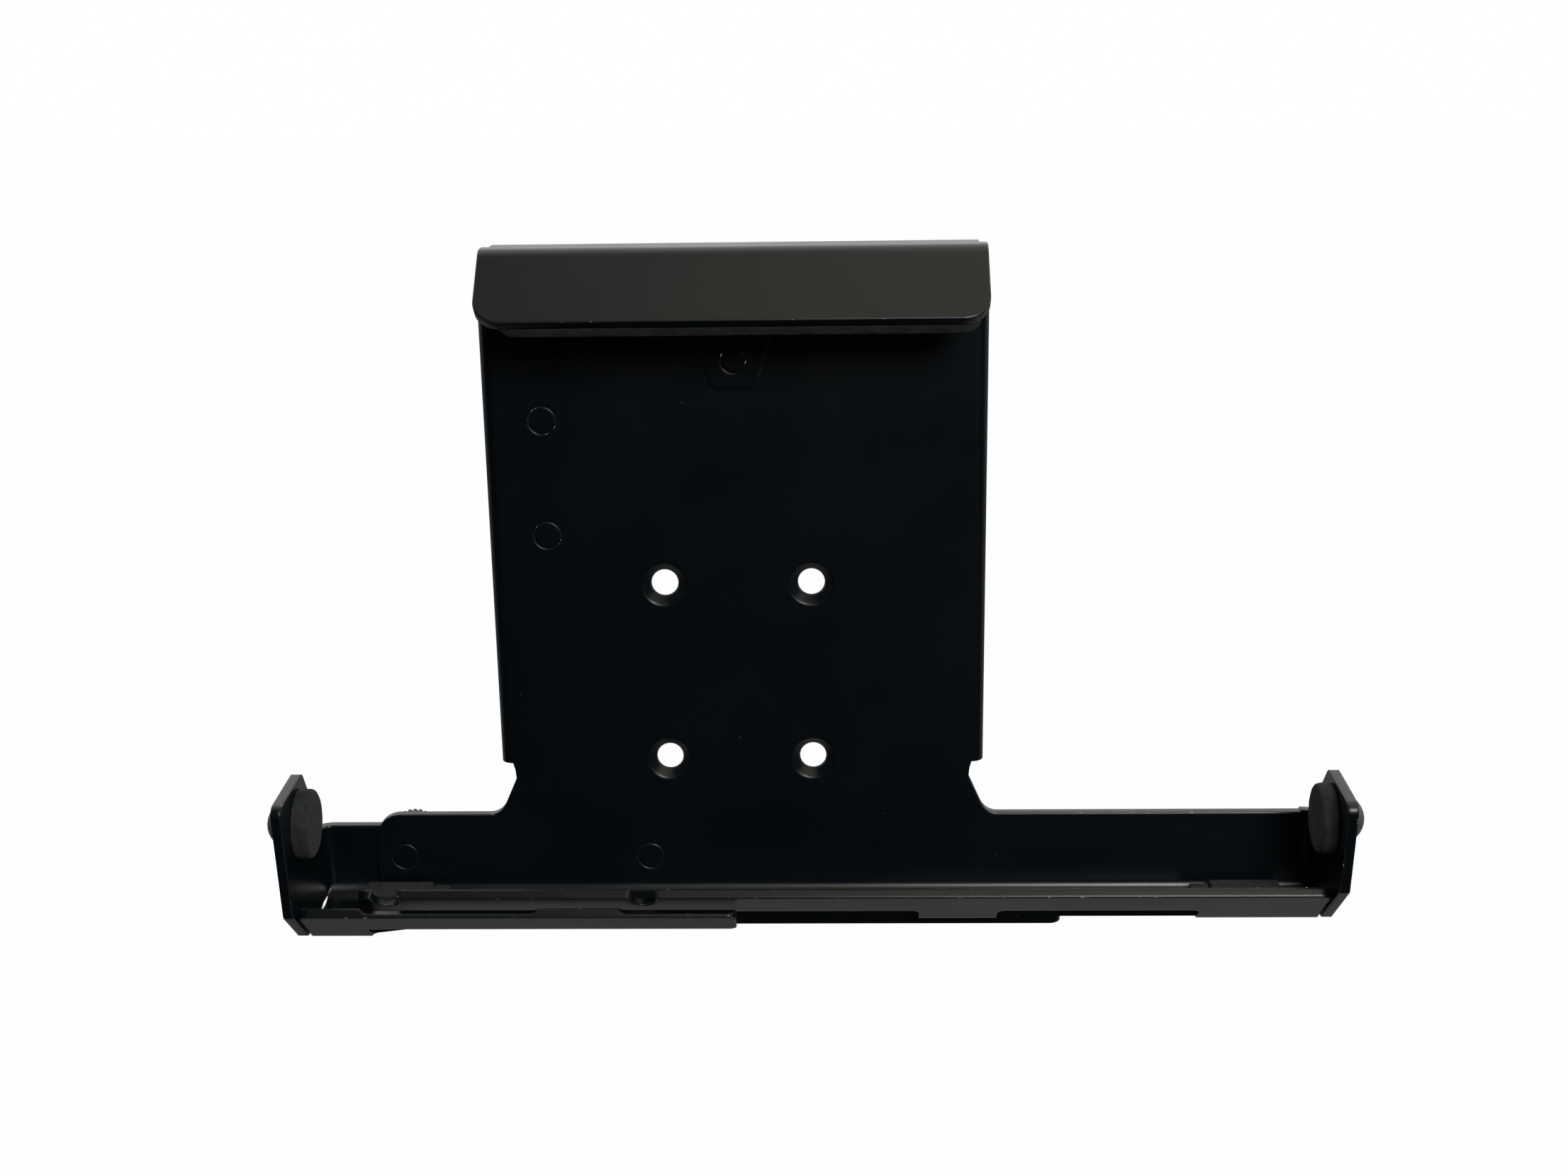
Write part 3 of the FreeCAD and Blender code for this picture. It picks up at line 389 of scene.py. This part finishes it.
block_edge_round = 0.15 * MM
for name in ("shelf_foam_left_long", "shelf_foam_left_short", "shelf_foam_right_short", "shelf_foam_right_long"):
    low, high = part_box(name)
    bpy.ops.mesh.primitive_cube_add(size=1)
    block = bpy.context.object
    block.name = name + "_block"
    bpy.ops.transform.resize(value=high - low)
    bpy.ops.object.transform_apply(scale=True)
    bpy.ops.object.mode_set(mode="EDIT")
    bpy.ops.mesh.select_all(action="SELECT")
    bpy.ops.mesh.bevel(offset=block_edge_round, offset_type="OFFSET", segments=2, affect="EDGES")
    bpy.ops.mesh.select_all(action="SELECT")
    bpy.ops.transform.translate(value=(low + high) / 2)
    bpy.ops.object.mode_set(mode="OBJECT")
    finish_foam(block, 0.22 * MM, 0.14 * MM, "tray", name)


# Floor
# A wide table top below the hanging holder, white to the camera. For all other rays its colour is painted shade:
# nearer than the lower edge of the view it is painted dark, grading to pale grey further back, and that painted shade
# is what the undersides of the holder and its foam show.

floor_drop = 0.16
table_size = 6.0
table_middle = 2.55
# Painted shade: for rays other than camera rays, the table's colour is dark below and in front of the holder and pale
# grey further back.
dark_until, pale_from = -0.02, 0.12
painted_shade_share, pale_share = 0.03, 0.45
white_share = 0.985
white_table, table_output = new_material("white_table")
rays = add_node(white_table, "ShaderNodeLightPath")
place = add_node(white_table, "ShaderNodeTexCoord")
axes = add_node(white_table, "ShaderNodeSeparateXYZ", {0: place.outputs["Object"]})
# Painted shade on the table under the holder, grading from dark to pale grey along Y.
painted_floor_shade = add_node(white_table, "ShaderNodeMapRange", {"Value": axes.outputs["Y"]},
                    {"From Min": dark_until, "From Max": pale_from, "To Min": painted_shade_share, "To Max": pale_share},
                    interpolation_type="SMOOTHSTEP")
matt_with_painted_shade = add_node(white_table, "ShaderNodeBsdfDiffuse", {"Color": painted_floor_shade.outputs["Result"]})
pale = add_node(white_table, "ShaderNodeEmission", {}, {"Color": (1.0, 1.0, 1.0, 1.0), "Strength": 1.0})
looked_at = add_node(white_table, "ShaderNodeMath",
                     {0: rays.outputs["Is Camera Ray"], 1: rays.outputs["Is Transmission Ray"]}, operation="MAXIMUM")
shown = add_node(white_table, "ShaderNodeMath", {0: looked_at.outputs[0]}, {1: white_share}, operation="MULTIPLY")
top = add_node(white_table, "ShaderNodeMixShader", {0: shown.outputs[0], 1: matt_with_painted_shade.outputs[0], 2: pale.outputs[0]})
white_table.node_tree.links.new(top.outputs[0], table_output.inputs["Surface"])
bpy.ops.mesh.primitive_plane_add(size=table_size, location=(0.0, table_middle, packed_bounds[0][2] - floor_drop))
floor = bpy.context.object
floor.name = "floor"
bpy.ops.object.transform_apply(location=True)
floor.data.materials.append(white_table)
bpy.ops.object.select_all(action="DESELECT")


# Light
# White paper stands behind and the room in front is dark, as the nearly black plate shows. A large soft box hangs
# above, and a smaller one stands high in front on the right and draws the light line along the lips.

room_dark_until, paper_from = -0.25, 0.45
room_strength = 0.25
studio = bpy.data.worlds.new("studio")
bpy.context.scene.world = studio
studio.use_nodes = True
studio.node_tree.nodes.clear()
direction = add_node(studio, "ShaderNodeTexCoord")
sides = add_node(studio, "ShaderNodeSeparateXYZ", {0: direction.outputs["Generated"]})
paper = add_node(studio, "ShaderNodeMapRange", {"Value": sides.outputs["Y"]},
                 {"From Min": room_dark_until, "From Max": paper_from, "To Min": 0.0, "To Max": 1.0},
                 interpolation_type="SMOOTHSTEP")
rays = add_node(studio, "ShaderNodeLightPath")
mirrored = add_node(studio, "ShaderNodeBackground", {"Strength": paper.outputs["Result"]},
                    {"Color": (1.0, 1.0, 1.0, 1.0)})
fill = add_node(studio, "ShaderNodeBackground", {}, {"Color": (1.0, 1.0, 1.0, 1.0), "Strength": room_strength})
white = add_node(studio, "ShaderNodeBackground", {}, {"Color": (1.0, 1.0, 1.0, 1.0), "Strength": 1.0})
for_gloss = add_node(studio, "ShaderNodeMixShader",
                     {0: rays.outputs["Is Glossy Ray"], 1: fill.outputs[0], 2: mirrored.outputs[0]})
seen = add_node(studio, "ShaderNodeMath", {0: rays.outputs["Is Camera Ray"], 1: rays.outputs["Is Transmission Ray"]},
                operation="MAXIMUM")
all_rays = add_node(studio, "ShaderNodeMixShader", {0: seen.outputs[0], 1: for_gloss.outputs[0], 2: white.outputs[0]})
add_node(studio, "ShaderNodeOutputWorld", {"Surface": all_rays.outputs[0]})


def add_soft_box(name, place, aim, size, watts, colour):
    """A square area lamp at a place, turned to shine at a point."""
    bpy.ops.object.light_add(type="AREA", location=place)
    lamp = bpy.context.object
    lamp.name = name
    lamp.data.shape = "SQUARE"
    lamp.data.size = size
    lamp.data.energy = watts
    lamp.data.color = colour[:3]
    lamp.rotation_euler = (Vector(aim) - Vector(place)).to_track_quat("-Z", "Y").to_euler()
    lamp.select_set(False)


add_soft_box("soft_box_above", (0.32, -0.28, 0.80), (0.0, 0.0, 0.0), 1.0, 2.1, linear("#fff3da"))
add_soft_box("soft_box_front", (0.32, -0.84, 0.52), (0.05, 0.0, 0.0), 0.35, 6.0, linear("#ffffff"))


# Camera
# The photograph's own viewpoint, worked out from the spacing of the mounting holes: 0.4 m in front of the plate and
# a little above it, looking down by 16 degrees.

photo_width = 2212
focal_pixels = 2800.08
sensor_width = 36.0
camera_place = (20.551 * MM, -392.677 * MM, 131.475 * MM)
yaw, pitch, roll = 0.02835, -0.28227, 0.01442
bpy.ops.object.camera_add(location=camera_place)
camera = bpy.context.object
camera.data.sensor_fit = "HORIZONTAL"
camera.data.sensor_width = sensor_width
camera.data.lens = sensor_width * focal_pixels / photo_width
camera.data.clip_start = 0.01
turn = Matrix.Rotation(yaw, 4, "Z") @ Matrix.Rotation(pitch, 4, "X") @ Matrix.Rotation(roll, 4, "Y")
camera.matrix_world = Matrix.Translation(camera_place) @ turn @ Matrix.Rotation(math.pi / 2, 4, "X")
bpy.context.scene.camera = camera
bpy.context.scene.view_settings.view_transform = "Standard"
